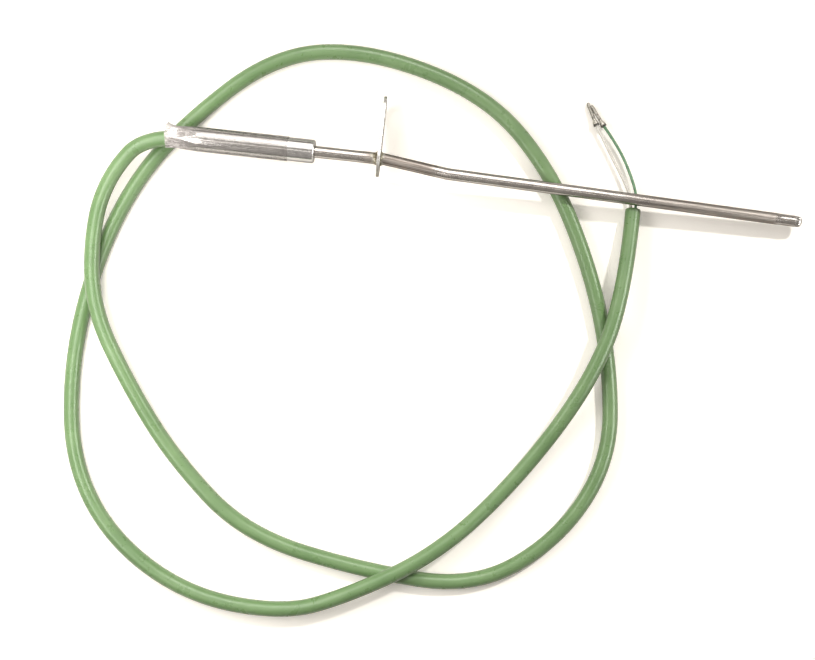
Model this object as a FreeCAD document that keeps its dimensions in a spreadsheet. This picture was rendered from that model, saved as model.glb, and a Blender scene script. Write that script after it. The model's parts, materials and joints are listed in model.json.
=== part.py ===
"""Flame sensor probe: a type K thermocouple in a bent steel sheath, with a mounting tab,
a crimped transition ferrule and a metre of two-core cable.

Everything is drawn about the ferrule's axis: +X runs along the ferrule towards the hot tip,
+Z is up, and the zero of a sub-part's own coordinates is the tab's seating face on that axis.
The finished part stands on z = 0 with its rigid pieces centred over the origin.
"""
import FreeCAD, Part
import Sketcher
import math
import os
from FreeCAD import Placement, Rotation, Vector

doc = FreeCAD.newDocument("flame_probe")
dims = doc.addObject("Spreadsheet::Sheet", "dims")

# ---------------------------------------------------------------- driving dimensions, mm
DIMENSIONS = (
    # where the seating face and the ferrule's axis lie in the finished part
    ("seat_station", -36.4),
    ("axis_station", -7.3),
    ("axis_height", 9.7),
    ("fit_gap", 0.03),
    # sheath: straight in the ferrule, set over behind the tab, then straight to the tip
    ("sheath_diameter", 4.0),
    ("sheath_bore", 2.8),
    ("sheath_insertion", 12.0),
    ("first_bend_station", 1.6),
    ("bend_radius", 12.0),
    ("offset_length", 21.7),
    ("offset_yaw_angle", -6.8),
    ("offset_tilt_angle", -1.5),
    ("probe_length", 123.2),
    ("probe_yaw_angle", -1.3),
    ("probe_tilt_angle", -2.15),
    ("swage_diameter", 3.8),
    ("swage_length", 5.8),
    ("tip_length", 2.4),
    ("tip_diameter", 3.7),
    ("tip_rounding", 0.9),
    ("tip_spigot", 1.2),
    ("flute_diameter", 0.7),
    # thermocouple inside the sheath
    ("wire_diameter", 0.5),
    ("wire_pitch", 1.6),
    ("junction_length", 1.0),
    ("seal_length", 2.0),
    # mounting tab and its braze
    ("tab_width", 12.4),
    ("tab_thickness", 1.0),
    ("tab_hole_spacing", 15.8),
    ("tab_screw_hole", 4.2),
    ("tab_lift", 0.98),
    ("braze_gap", 0.1),
    ("braze_rear_length", 2.6),
    ("braze_rear_rise", 1.5),
    ("braze_front_length", 1.6),
    ("braze_front_rise", 1.1),
    # transition ferrule and the film over it
    ("exposed_sheath", 21.5),
    ("ferrule_length", 50.0),
    ("ferrule_diameter", 8.0),
    ("ferrule_bore", 7.0),
    ("ferrule_end_wall", 1.0),
    ("ferrule_rounding", 0.8),
    ("crimp_flats", 6.7),
    ("crimp_length", 8.0),
    ("crimp_run_out", 3.4),
    ("die_mouth_clearance", 0.1),
    ("bore_taper", 2.5),
    ("film_wall", 0.15),
    ("film_length", 42.0),
    ("film_overhang", 1.0),
    # splices in the ferrule
    ("splice_setback", 3.5),
    ("splice_length", 7.0),
    ("splice_grip", 3.0),
    ("splice_diameter", 1.2),
    ("splice_sleeve_diameter", 1.5),
    ("splice_sleeve_overlap", 1.5),
    # cable
    ("jacket_diameter", 5.3),
    ("jacket_bore", 2.8),
    ("jacket_insertion", 10.5),
    ("core_diameter", 1.0),
    ("core_strip_back", 13.0),
    ("conductor_diameter", 0.5),
    ("crossing_clearance", 0.35),
    # ferrules on the free ends
    ("end_ferrule_length", 8.6),
    ("end_ferrule_diameter", 1.15),
    ("end_ferrule_mouth", 1.9),
    ("end_ferrule_mouth_length", 2.2),
    ("end_ferrule_taper", 0.8),
)
FLUTE_COUNT = 8
CRIMP_SIDES = 6

# How much of the shorter run beside a corner its arc may take, and how close two sizes must be
# to count as the same.
ARC_SHARE = 0.45
SAME_SIZE = 1e-4

for row, (alias, value) in enumerate(DIMENSIONS, 1):
    dims.set(f"A{row}", alias)
    dims.set(f"B{row}", str(value))
    dims.setAlias(f"B{row}", alias)
doc.recompute()


def size(alias):
    """One driving dimension as a number."""
    return float(dims.get(alias))


def bind(thing, **expressions):
    """Tie properties to the sheet. A dot in a property's name is written as a double underscore."""
    for name, expression in expressions.items():
        thing.setExpression(name.replace("__", "."), expression)


# ---------------------------------------------------------------- stations along the axis
# Expressions for the sheet, and the same stations as numbers for the swept pieces.
FERRULE_FRONT = "(-dims.tab_thickness - dims.exposed_sheath)"
FERRULE_REAR = f"({FERRULE_FRONT} - dims.ferrule_length)"
FILM_REAR = f"({FERRULE_REAR} - dims.film_overhang)"
SHEATH_REAR = f"({FERRULE_FRONT} - dims.sheath_insertion)"
SPLICE_FRONT = f"({SHEATH_REAR} - dims.splice_setback)"
SPLICE_REAR = f"({SPLICE_FRONT} - dims.splice_length)"
JACKET_START = f"({FERRULE_REAR} + dims.jacket_insertion)"
CORE_START = f"({JACKET_START} + dims.core_strip_back)"

ferrule_front = -size("tab_thickness") - size("exposed_sheath")
ferrule_rear = ferrule_front - size("ferrule_length")
film_rear = ferrule_rear - size("film_overhang")
sheath_rear = ferrule_front - size("sheath_insertion")
splice_front = sheath_rear - size("splice_setback")
splice_rear = splice_front - size("splice_length")
jacket_start = ferrule_rear + size("jacket_insertion")
core_start = jacket_start + size("core_strip_back")

ALONG_X = Rotation(Vector(0, 1, 0), 90)
UP = Vector(0, 0, 1)
seat = Vector(size("seat_station"), size("axis_station"), size("axis_height"))
wire_side = {"positive": 1, "negative": -1}

nodes = []


def finish(thing, label, turn=None):
    """Give a finished sub-part its name and seat it in the finished part."""
    thing.Label = label
    if turn is not None:
        thing.Placement = Placement(seat, turn)
    bind(
        thing,
        Placement__Base__x="dims.seat_station",
        Placement__Base__y="dims.axis_station",
        Placement__Base__z="dims.axis_height",
    )
    nodes.append(thing)
    return thing


# ---------------------------------------------------------------- small builders
def rod(name, diameter, start, length, side="0"):
    """A round bar along +X, from one station, set off sideways along Y."""
    bar = doc.addObject("Part::Cylinder", name)
    bar.Placement = Placement(Vector(), ALONG_X)
    bind(
        bar,
        Radius=f"({diameter}) / 2",
        Height=length,
        Placement__Base__x=start,
        Placement__Base__y=side,
    )
    return bar


def fuse(name, pieces):
    joined = doc.addObject("Part::MultiFuse", name)
    joined.Shapes = pieces
    return joined


def cut(name, blank, tools):
    """The blank less its tools."""
    left = doc.addObject("Part::Cut", name)
    left.Base = blank
    left.Tool = tools[0] if len(tools) == 1 else fuse(name + "_tools", tools)
    return left


def own_plane(body, role):
    return next(p for p in body.Origin.OriginFeatures if p.Role == role)


def sketch_on(body, role, name):
    sketch = body.newObject("Sketcher::SketchObject", name)
    sketch.AttachmentSupport = (own_plane(body, role), "")
    sketch.MapMode = "FlatFace"
    return sketch


def tie_point(sketch, line, across, up, label):
    """Hold a line's first point at expressions measured from the sketch's origin."""
    for axis, kind, expression in ((-2, "DistanceX", across), (-1, "DistanceY", up)):
        if expression == "0":
            sketch.addConstraint(Sketcher.Constraint("PointOnObject", line, 1, axis))
            continue
        start = sketch.Geometry[line].StartPoint
        now = start.x if kind == "DistanceX" else start.y
        held = sketch.addConstraint(Sketcher.Constraint(kind, -1, 1, line, 1, now))
        sketch.renameConstraint(held, f"{label}_{kind[-1]}")
        sketch.setExpression(f"Constraints.{label}_{kind[-1]}", expression)


def value_of(expression):
    """The present value of a sheet expression."""
    return float(dims.evalExpression(expression))


def outline(sketch, corners):
    """A closed outline of straight lines, each corner tied to the sheet."""
    points = [Vector(value_of(x), value_of(y), 0) for x, y in corners]
    ends = points[1:] + points[:1]
    for first, second in zip(points, ends):
        sketch.addGeometry(Part.LineSegment(first, second), False)
    count = len(points)
    for line in range(count):
        following = (line + 1) % count
        sketch.addConstraint(Sketcher.Constraint("Coincident", line, 2, following, 1))
    for line, (x, y) in enumerate(corners):
        tie_point(sketch, line, x, y, f"corner{line}")


def turned_body(name, corners):
    """A body turned about X from an outline of (station, radius) corners."""
    body = doc.addObject("PartDesign::Body", name)
    sketch = sketch_on(body, "XY_Plane", name + "_profile")
    outline(sketch, corners)
    turning = body.newObject("PartDesign::Revolution", name + "_turning")
    turning.Profile = sketch
    turning.ReferenceAxis = (sketch, ["H_Axis"])
    turning.Angle = 360
    doc.recompute()
    return body


def heading(yaw, pitch):
    """A unit vector, level along +X before it is turned sideways and tipped up."""
    side, up = math.radians(yaw), math.radians(pitch)
    return Vector(math.cos(up) * math.cos(side), math.cos(up) * math.sin(side), math.sin(up))


def widest_radii(points):
    """The largest arc that fits each corner, of the part of each run that an arc may take."""
    radii = []
    for before, corner, after in zip(points, points[1:], points[2:]):
        back, ahead = corner - before, after - corner
        setback = ARC_SHARE * min(back.Length, ahead.Length)
        radii.append(setback / math.tan(back.getAngle(ahead) / 2))
    return radii


def set_off(points, radii, side):
    """The same route moved level to its left, its arcs concentric with the old ones."""
    runs = [end - start for start, end in zip(points, points[1:])]
    lefts = [UP.cross(run).normalize() for run in runs]
    moved = []
    for point, near, far in zip(points, lefts[:1] + lefts, lefts + lefts[-1:]):
        moved.append(point + (near + far) * (side / (1 + near.dot(far))))
    moved_radii = []
    for radius, back, ahead in zip(radii, runs, runs[1:]):
        to_left = back.cross(ahead).z > 0
        moved_radii.append(radius - side if to_left else radius + side)
    return moved, moved_radii


def rounded_path(points, radii):
    """Straight runs between the points, joined by tangent arcs of the given radii."""
    edges = []
    start = points[0]
    for before, corner, after, radius in zip(points, points[1:], points[2:], radii):
        back = (before - corner).normalize()
        ahead = (after - corner).normalize()
        half_turn = (math.pi - back.getAngle(ahead)) / 2
        setback = radius * math.tan(half_turn)
        enter = corner + back * setback
        leave = corner + ahead * setback
        inward = (back + ahead).normalize()
        middle = corner + inward * (radius / math.cos(half_turn) - radius)
        edges.append(Part.LineSegment(start, enter).toShape())
        edges.append(Part.Arc(enter, middle, leave).toShape())
        start = leave
    edges.append(Part.LineSegment(start, points[-1]).toShape())
    return Part.Wire(edges)


def round_sweep(path, diameter):
    """A round bar along a path."""
    first = path.Edges[0]
    start = first.valueAt(first.FirstParameter)
    along = first.tangentAt(first.FirstParameter)
    shell = Part.BRepOffsetAPI.MakePipeShell(path)
    shell.add(Part.Wire(Part.Circle(start, along, diameter / 2).toShape()), False, False)
    shell.build()
    shell.makeSolid()
    return shell.shape()


def swept_node(label, shape):
    """A sub-part whose shape follows a path in space."""
    thing = doc.addObject("Part::Feature", label)
    thing.Shape = shape
    return finish(thing, label)


# ---------------------------------------------------------------- sheath and thermocouple
offset_way = heading(size("offset_yaw_angle"), size("offset_tilt_angle"))
probe_way = heading(size("probe_yaw_angle"), size("probe_tilt_angle"))
first_bend = Vector(size("first_bend_station"), 0, 0)
second_bend = first_bend + offset_way * size("offset_length")
tip_base = second_bend + probe_way * (size("probe_length") - size("tip_length"))
swage_start = tip_base - probe_way * size("swage_length")
very_tip = tip_base + probe_way * size("tip_length")
tip_turn = Rotation(probe_way, UP.cross(probe_way), UP, "XYZ")


def probe_path(start, end, side=0.0):
    """The sheath's axis from a station in the ferrule to a point on the last run, set off."""
    corners = [Vector(start, 0, 0), first_bend, second_bend, end]
    radii = [size("bend_radius"), size("bend_radius")]
    return rounded_path(*set_off(corners, radii, side))


def bar_between(first, second, diameter):
    """A straight round bar between two points."""
    reach = second - first
    return Part.makeCylinder(diameter / 2, reach.Length, first, reach)


fit_gap = size("fit_gap")
core_end = tip_base - probe_way * (size("tip_spigot") + size("junction_length"))
beyond_core = bar_between(core_end, very_tip, size("sheath_diameter"))
core_start_in_sheath = sheath_rear + size("seal_length")

# The sheath is one tube, its last stretch swaged a little thinner.
sheath_bar = round_sweep(probe_path(sheath_rear, swage_start), size("sheath_diameter"))
swaged_bar = bar_between(swage_start, tip_base, size("swage_diameter"))
sheath_hole = round_sweep(probe_path(sheath_rear, very_tip), size("sheath_bore"))
swept_node("probe_sheath", sheath_bar.fuse(swaged_bar).cut(sheath_hole).removeSplitter())

# Two thermocouple wires lie side by side in pressed mineral powder. Both stop at the junction.
powder_path = probe_path(core_start_in_sheath, tip_base)
insulation = round_sweep(powder_path, size("sheath_bore") - 2 * fit_gap).cut(beyond_core)
for polarity, way in wire_side.items():
    side = way * size("wire_pitch") / 2
    hole_path = probe_path(core_start_in_sheath, very_tip, side)
    insulation = insulation.cut(round_sweep(hole_path, size("wire_diameter") + 2 * fit_gap))
    wire_path = probe_path(splice_front - size("splice_grip"), tip_base, side)
    wire = round_sweep(wire_path, size("wire_diameter")).cut(beyond_core)
    swept_node(f"{polarity}_thermowire", wire)
swept_node("mineral_insulation", insulation)

# The weld that joins both wires: a plug against their ends, just behind the tip's spigot.
junction_end = core_end + probe_way * (size("junction_length") - fit_gap)
swept_node(
    "hot_junction",
    bar_between(core_end, junction_end, size("sheath_bore") - 2 * fit_gap),
)

# The seal in the sheath's open end keeps damp out of the powder.
seal = cut(
    "sheath_seal_cut",
    rod(
        "seal_plug",
        "dims.sheath_bore - 2 * dims.fit_gap",
        SHEATH_REAR,
        "dims.seal_length - dims.fit_gap",
    ),
    [
        rod(
            f"seal_{polarity}_hole",
            "dims.wire_diameter + 2 * dims.fit_gap",
            SHEATH_REAR,
            "dims.seal_length",
            f"{way} * dims.wire_pitch / 2",
        )
        for polarity, way in wire_side.items()
    ],
)
finish(seal, "sheath_seal")

# ---------------------------------------------------------------- fluted tip
# Drawn from the sheath's end: a spigot that plugs the bore, then the fluted, rounded end.
tip = turned_body(
    "sheath_tip",
    [
        ("-dims.tip_spigot", "0"),
        ("-dims.tip_spigot", "dims.sheath_bore / 2 - dims.fit_gap"),
        ("0", "dims.sheath_bore / 2 - dims.fit_gap"),
        ("0", "dims.tip_diameter / 2"),
        ("dims.tip_length", "dims.tip_diameter / 2"),
        ("dims.tip_length", "0"),
    ],
)


def rim(shape, station, radius):
    """The name of the round edge with this radius that lies across this station."""
    for number, edge in enumerate(shape.Edges, 1):
        curve = edge.Curve
        if not isinstance(curve, Part.Circle):
            continue
        if max(abs(curve.Center.x - station), abs(curve.Radius - radius)) < SAME_SIZE:
            return f"Edge{number}"
    raise ValueError("no such rim")


turned_tip = tip.Tip
end_rim = rim(turned_tip.Shape, size("tip_length"), size("tip_diameter") / 2)
rounding = tip.newObject("PartDesign::Fillet", "tip_rounding")
rounding.Base = (turned_tip, [end_rim])
bind(rounding, Radius="dims.tip_rounding")
doc.recompute()

flute_sketch = sketch_on(tip, "YZ_Plane", "flute_profile")
flute_sketch.addGeometry(
    Part.Circle(Vector(size("tip_diameter") / 2, 0, 0), UP, size("flute_diameter") / 2), False
)
flute_sketch.addConstraint(Sketcher.Constraint("PointOnObject", 0, 3, -1))
for name, kind, bound in (
    ("reach", "DistanceX", "dims.tip_diameter / 2"),
    ("width", "Diameter", "dims.flute_diameter"),
):
    at = (-1, 1, 0, 3) if kind == "DistanceX" else (0,)
    held = flute_sketch.addConstraint(Sketcher.Constraint(kind, *at, value_of(bound)))
    flute_sketch.renameConstraint(held, name)
    flute_sketch.setExpression(f"Constraints.{name}", bound)
flute = tip.newObject("PartDesign::Pocket", "flute")
flute.Profile = flute_sketch
flute.Type = "Length"
flute.Reversed = True
bind(flute, Length="dims.tip_length")
doc.recompute()
flutes = tip.newObject("PartDesign::PolarPattern", "flutes")
flutes.Originals = [flute]
flutes.Axis = (own_plane(tip, "X_Axis"), [""])
flutes.Angle = 360
flutes.Occurrences = FLUTE_COUNT
tip.Tip = flutes
doc.recompute()
if tip.Shape.Volume >= rounding.Shape.Volume:
    raise ValueError("the flutes cut nothing")
tip.Label = "sheath_tip"
tip.Placement = Placement(seat + tip_base, tip_turn)
nodes.append(tip)

# ---------------------------------------------------------------- mounting tab
# A strip with round ends: the sheath goes through one end's centre, the screw through the
# other's. The screw end leans down and stops just clear of the surface under the probe.
tab = doc.addObject("PartDesign::Body", "mounting_flange")
tab_sketch = sketch_on(tab, "YZ_Plane", "tab_outline")
half_width = size("tab_width") / 2
spacing = size("tab_hole_spacing")
far_centre = Vector(spacing, 0, 0)
quarter = math.pi / 2
tab_sketch.addGeometry(
    [
        Part.ArcOfCircle(Part.Circle(Vector(), UP, half_width), quarter, math.pi + quarter),
        Part.LineSegment(Vector(0, -half_width, 0), Vector(spacing, -half_width, 0)),
        Part.ArcOfCircle(Part.Circle(far_centre, UP, half_width), -quarter, quarter),
        Part.LineSegment(Vector(spacing, half_width, 0), Vector(0, half_width, 0)),
        Part.Circle(Vector(), UP, size("sheath_diameter") / 2 + size("braze_gap")),
        Part.Circle(far_centre, UP, size("tab_screw_hole") / 2),
    ],
    False,
)
tab_sketch.addConstraint(
    [
        Sketcher.Constraint("Tangent", 0, 2, 1, 1),
        Sketcher.Constraint("Tangent", 1, 2, 2, 1),
        Sketcher.Constraint("Tangent", 2, 2, 3, 1),
        Sketcher.Constraint("Tangent", 3, 2, 0, 1),
        Sketcher.Constraint("Coincident", 0, 3, -1, 1),
        Sketcher.Constraint("Coincident", 4, 3, -1, 1),
        Sketcher.Constraint("Coincident", 5, 3, 2, 3),
        Sketcher.Constraint("PointOnObject", 2, 3, -1),
    ]
)
for name, kind, at, bound in (
    ("end_radius", "Radius", (0,), "dims.tab_width / 2"),
    ("spacing", "DistanceX", (-1, 1, 2, 3), "dims.tab_hole_spacing"),
    ("sheath_hole", "Diameter", (4,), "dims.sheath_diameter + 2 * dims.braze_gap"),
    ("screw_hole", "Diameter", (5,), "dims.tab_screw_hole"),
):
    held = tab_sketch.addConstraint(Sketcher.Constraint(kind, *at, value_of(bound)))
    tab_sketch.renameConstraint(held, name)
    tab_sketch.setExpression(f"Constraints.{name}", bound)
plate = tab.newObject("PartDesign::Pad", "plate")
plate.Profile = tab_sketch
plate.Reversed = True
bind(plate, Length="dims.tab_thickness")
doc.recompute()
finish(tab, "mounting_flange", Rotation(Vector(1, 0, 0), -1))
bind(
    tab,
    Placement__Rotation__Angle=(
        "-asin((dims.axis_height - dims.tab_width / 2 - dims.tab_lift)"
        " / dims.tab_hole_spacing)"
    ),
)

# Braze fills the hole round the sheath and stands as a fillet on both faces of the tab.
braze = turned_body(
    "flange_braze",
    [
        (
            "-dims.tab_thickness - dims.braze_rear_length",
            "dims.sheath_diameter / 2 + dims.fit_gap",
        ),
        ("-dims.tab_thickness", "dims.sheath_diameter / 2 + dims.braze_rear_rise"),
        ("-dims.tab_thickness", "dims.sheath_diameter / 2 + dims.braze_gap - dims.fit_gap"),
        ("0", "dims.sheath_diameter / 2 + dims.braze_gap - dims.fit_gap"),
        ("0", "dims.sheath_diameter / 2 + dims.braze_front_rise"),
        ("dims.braze_front_length", "dims.sheath_diameter / 2 + dims.fit_gap"),
    ],
)
finish(braze, "flange_braze")

# ---------------------------------------------------------------- transition ferrule
# A round tube, closed at the sheath's end by a rolled shoulder, and squeezed by a six-sided
# die over the cable. The die's mouth opens out, so each flat runs out in a sloping facet.
blank = rod("ferrule_blank", "dims.ferrule_diameter", FERRULE_REAR, "dims.ferrule_length")
doc.recompute()
shoulder = doc.addObject("Part::Fillet", "ferrule_shoulder")
shoulder.Base = blank
front_rim = rim(blank.Shape, ferrule_front, size("ferrule_diameter") / 2)
rounding_radius = size("ferrule_rounding")
shoulder.Edges = [(int(front_rim[4:]), rounding_radius, rounding_radius)]

FLAT_TO_CORNER = f"/ (2 * cos(180 / {CRIMP_SIDES}))"


def squeeze(name, blank, growth, start):
    """What a six-sided die leaves of a round blank, the die's flats moved out by a growth.

    The die's throat starts at the given station and its mouth opens towards the sheath.
    """
    throat_end = f"{FERRULE_REAR} + dims.crimp_length"
    mouth_station = f"{throat_end} + dims.crimp_run_out"
    throat_flats = f"(dims.crimp_flats + 2 * ({growth}))"
    mouth_flats = f"(dims.ferrule_diameter + 2 * (dims.die_mouth_clearance + {growth}))"
    throat = doc.addObject("Part::Prism", name + "_throat")
    throat.Polygon = CRIMP_SIDES
    throat.Placement = Placement(Vector(), ALONG_X)
    bind(
        throat,
        Circumradius=f"{throat_flats} {FLAT_TO_CORNER}",
        Height=f"{throat_end} - {start}",
        Placement__Base__x=start,
    )
    sections = []
    for part, flats, station in (
        ("inner", throat_flats, throat_end),
        ("outer", mouth_flats, mouth_station),
    ):
        section = doc.addObject("Part::RegularPolygon", f"{name}_{part}_section")
        section.Polygon = CRIMP_SIDES
        section.Placement = Placement(Vector(), ALONG_X)
        bind(section, Circumradius=f"{flats} {FLAT_TO_CORNER}", Placement__Base__x=station)
        sections.append(section)
    mouth = doc.addObject("Part::Loft", name + "_mouth")
    mouth.Sections = sections
    mouth.Solid = True
    mouth.Ruled = True
    beyond = rod(
        name + "_beyond",
        "2 * dims.ferrule_diameter",
        mouth_station,
        f"{FERRULE_FRONT} - ({mouth_station})",
    )
    left = doc.addObject("Part::MultiCommon", name)
    left.Shapes = [blank, fuse(name + "_space", [throat, mouth, beyond])]
    return left


squeezed = squeeze("squeezed_ferrule", shoulder, "0", FERRULE_REAR)

# The bore is wide over the splices and narrows to grip the jacket.
wide_bore = rod(
    "wide_bore",
    "dims.ferrule_bore",
    f"{FERRULE_REAR} + dims.crimp_length + dims.bore_taper",
    "dims.ferrule_length - dims.crimp_length - dims.bore_taper - dims.ferrule_end_wall",
)
JACKET_HOLE = "dims.jacket_diameter + 2 * dims.fit_gap"
grip_bore = rod("grip_bore", JACKET_HOLE, FERRULE_REAR, "dims.crimp_length")
narrowing = doc.addObject("Part::Cone", "narrowing")
narrowing.Placement = Placement(Vector(), ALONG_X)
bind(
    narrowing,
    Radius1=f"({JACKET_HOLE}) / 2",
    Radius2="dims.ferrule_bore / 2",
    Height="dims.bore_taper",
    Placement__Base__x=f"{FERRULE_REAR} + dims.crimp_length",
)
sheath_way = rod(
    "sheath_way",
    "dims.sheath_diameter + 2 * dims.fit_gap",
    f"{FERRULE_FRONT} - 2 * dims.ferrule_end_wall",
    "3 * dims.ferrule_end_wall",
)
ferrule = cut("ferrule_cut", squeezed, [wide_bore, narrowing, grip_bore, sheath_way])
finish(ferrule, "transition_ferrule")

# Clear film shrunk over the crimp and most of the ferrule. It follows the crimp's flats.
film_sides = []
for face, growth in (("inside", "dims.fit_gap"), ("outside", "dims.fit_gap + dims.film_wall")):
    tube = rod(
        f"film_{face}_round",
        f"dims.ferrule_diameter + 2 * ({growth})",
        FILM_REAR,
        "dims.film_length",
    )
    film_sides.append(squeeze(f"film_{face}", tube, growth, FILM_REAR))
film = cut("film_cut", film_sides[1], film_sides[:1])
finish(film, "shrink_film")

# ---------------------------------------------------------------- splices and potting
for polarity, way in wire_side.items():
    beside = f"{way} * dims.wire_pitch / 2"
    barrel = cut(
        f"{polarity}_barrel_cut",
        rod(
            f"{polarity}_barrel",
            "dims.splice_diameter",
            SPLICE_REAR,
            "dims.splice_length",
            beside,
        ),
        [
            rod(
                f"{polarity}_barrel_bore",
                "max(dims.wire_diameter; dims.conductor_diameter) + 2 * dims.fit_gap",
                SPLICE_REAR,
                "dims.splice_length",
                beside,
            )
        ],
    )
    finish(barrel, f"{polarity}_splice")
    sleeve = cut(
        f"{polarity}_sleeve_cut",
        rod(
            f"{polarity}_sleeve",
            "dims.splice_sleeve_diameter",
            f"{SPLICE_REAR} - dims.splice_sleeve_overlap",
            "dims.splice_length + 2 * dims.splice_sleeve_overlap",
            beside,
        ),
        [
            rod(
                f"{polarity}_sleeve_bore",
                "dims.splice_diameter + 2 * dims.fit_gap",
                f"{SPLICE_REAR} - dims.splice_sleeve_overlap",
                "dims.splice_length + 2 * dims.splice_sleeve_overlap",
                beside,
            )
        ],
    )
    finish(sleeve, f"{polarity}_splice_sleeve")

POTTING_REAR = f"({JACKET_START} + dims.fit_gap)"
POTTING_FRONT = f"({FERRULE_FRONT} - dims.ferrule_end_wall - dims.fit_gap)"
potting = cut(
    "potting_cut",
    rod(
        "potting_fill",
        "dims.ferrule_bore - 2 * dims.fit_gap",
        POTTING_REAR,
        f"{POTTING_FRONT} - {POTTING_REAR}",
    ),
    [
        rod(
            "sheath_hollow",
            "dims.sheath_diameter + 2 * dims.fit_gap",
            SHEATH_REAR,
            "dims.sheath_insertion",
        )
    ]
    + [
        rod(
            f"{polarity}_hollow",
            "dims.splice_sleeve_diameter + 2 * dims.fit_gap",
            POTTING_REAR,
            f"{SHEATH_REAR} - {POTTING_REAR}",
            f"{way} * dims.wire_pitch / 2",
        )
        for polarity, way in wire_side.items()
    ],
)
finish(potting, "potting")

# ---------------------------------------------------------------- cable
# Points of the cable's route, from the ferrule's mouth: it leaves along -X, comes down to the
# surface, goes round once and three quarters and passes over itself three times.
floor = size("jacket_diameter") / 2 - size("axis_height")
over = floor + size("jacket_diameter") + size("crossing_clearance")
CABLE_ROUTE = (
    (-6.5, 0, 0),
    (-17.5, -14.5, -0.6),
    (-22, -32, over),
    (-19.5, -60, over),
    (-4.5, -86, -4.4),
    (13.5, -110, floor),
    (41, -133.5, floor),
    (84, -141.5, floor),
    (122, -143, floor),
    (149, -123, floor),
    (163.5, -94, floor),
    (160, -62, floor),
    (150, -30, floor),
    (132, 3.5, floor),
    (107, 27, floor),
    (66, 38, floor),
    (33, 33, floor),
    (3, 4, floor),
    (-12.5, -20, floor),
    (-22, -50, floor),
    (-25.5, -82, floor),
    (-21.5, -115, floor),
    (-5, -140, floor),
    (23.5, -156.5, floor),
    (57, -158.5, -4.9),
    (78, -149.5, over),
    (106.5, -132.5, over),
    (131, -106, floor),
    (152.5, -69.5, over),
    (161.5, -38, over),
    (162, -7.4, floor),
)
# Points of the two cores beyond the jacket, and the end ferrules' tips.
CORE_ROUTES = {
    "positive": ((159.5, 3.5, -5.7), (155.2, 11, -4.8), (151.2, 17, -6.1), (149, 20.3, -6.9)),
    "negative": ((157.8, 1.5, -6.4), (152.8, 9, -4.9), (148.2, 17.1, -6.2), (146.4, 20.6, -7)),
}
CORE_EXIT_RUN = {"positive": 5.4, "negative": 4.7}

mouth = Vector(film_rear, 0, 0)
route = [mouth + Vector(*point) for point in CABLE_ROUTE]
jacket_points = [Vector(jacket_start, 0, 0)] + route
jacket_radii = widest_radii(jacket_points)
end_way = (route[-1] - route[-2]).normalize()


def check_sweep(name, shape, area, length):
    """Print how a swept bar's volume compares with its section times its length."""
    share = shape.Volume / area / length
    print(f"{name}: {length:.1f} mm, volume over section x length {share:.4f}")


print("cable radii, mm:", ", ".join(f"{radius:.0f}" for radius in jacket_radii))
jacket_path = rounded_path(jacket_points, jacket_radii)
jacket = round_sweep(jacket_path, size("jacket_diameter"))
jacket = jacket.cut(round_sweep(jacket_path, size("jacket_bore")))
jacket_section = math.pi / 4 * (size("jacket_diameter") ** 2 - size("jacket_bore") ** 2)
check_sweep("cable_jacket", jacket, jacket_section, jacket_path.Length)
swept_node("cable_jacket", jacket)


def core_path(start, side, outside):
    """One core's path: beside the cable's axis in the jacket, then its own way outside."""
    inside = [Vector(start, 0, 0)] + route
    moved, moved_radii = set_off(inside, jacket_radii, side)
    free_radii = widest_radii([moved[-2]] + outside)
    return rounded_path(moved[:-1] + outside, moved_radii + free_radii), free_radii


def end_ferrule(polarity, opening, way):
    """A crimp ferrule: a thin barrel with a flared mouth, bored for the conductor."""
    body = turned_body(
        f"{polarity}_end_ferrule",
        [
            ("0", "dims.core_diameter / 2 + dims.fit_gap"),
            ("0", "dims.end_ferrule_mouth / 2"),
            ("dims.end_ferrule_mouth_length", "dims.end_ferrule_mouth / 2"),
            (
                "dims.end_ferrule_mouth_length + dims.end_ferrule_taper",
                "dims.end_ferrule_diameter / 2",
            ),
            ("dims.end_ferrule_length", "dims.end_ferrule_diameter / 2"),
            ("dims.end_ferrule_length", "dims.conductor_diameter / 2 + dims.fit_gap"),
            (
                "dims.end_ferrule_mouth_length",
                "dims.conductor_diameter / 2 + dims.fit_gap",
            ),
            ("dims.end_ferrule_mouth_length", "dims.core_diameter / 2 + dims.fit_gap"),
        ],
    )
    body.Label = f"{polarity}_end_ferrule"
    body.Placement = Placement(seat + opening, Rotation(way, UP.cross(way), UP, "XYZ"))
    nodes.append(body)


for polarity, way in wire_side.items():
    # The cable leaves along -X, so its left side is the probe's -Y.
    side = -way * size("wire_pitch") / 2
    leaving = set_off(route, [], side)[0][-1]
    outside = [leaving + end_way * CORE_EXIT_RUN[polarity]]
    outside += [mouth + Vector(*point) for point in CORE_ROUTES[polarity]]
    opening = outside[-1]
    last_way = (opening - outside[-2]).normalize()

    core_end_point = opening + last_way * (size("end_ferrule_mouth_length") - fit_gap)
    covered, free_radii = core_path(core_start, side, outside[:-1] + [core_end_point])
    print(f"{polarity} core's free radii, mm:", ", ".join(f"{r:.1f}" for r in free_radii))
    core = round_sweep(covered, size("core_diameter"))
    hole_diameter = size("conductor_diameter") + 2 * fit_gap
    core = core.cut(round_sweep(covered, hole_diameter))
    core_section = math.pi / 4 * (size("core_diameter") ** 2 - hole_diameter**2)
    check_sweep(f"{polarity}_core", core, core_section, covered.Length)
    swept_node(f"{polarity}_core", core)

    conductor_end = opening + last_way * size("end_ferrule_length")
    bare = core_path(splice_rear + size("splice_grip"), side, outside[:-1] + [conductor_end])[0]
    conductor = round_sweep(bare, size("conductor_diameter"))
    conductor_section = math.pi / 4 * size("conductor_diameter") ** 2
    check_sweep(f"{polarity}_conductor", conductor, conductor_section, bare.Length)
    swept_node(f"{polarity}_conductor", conductor)
    end_ferrule(polarity, opening, last_way)

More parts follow.
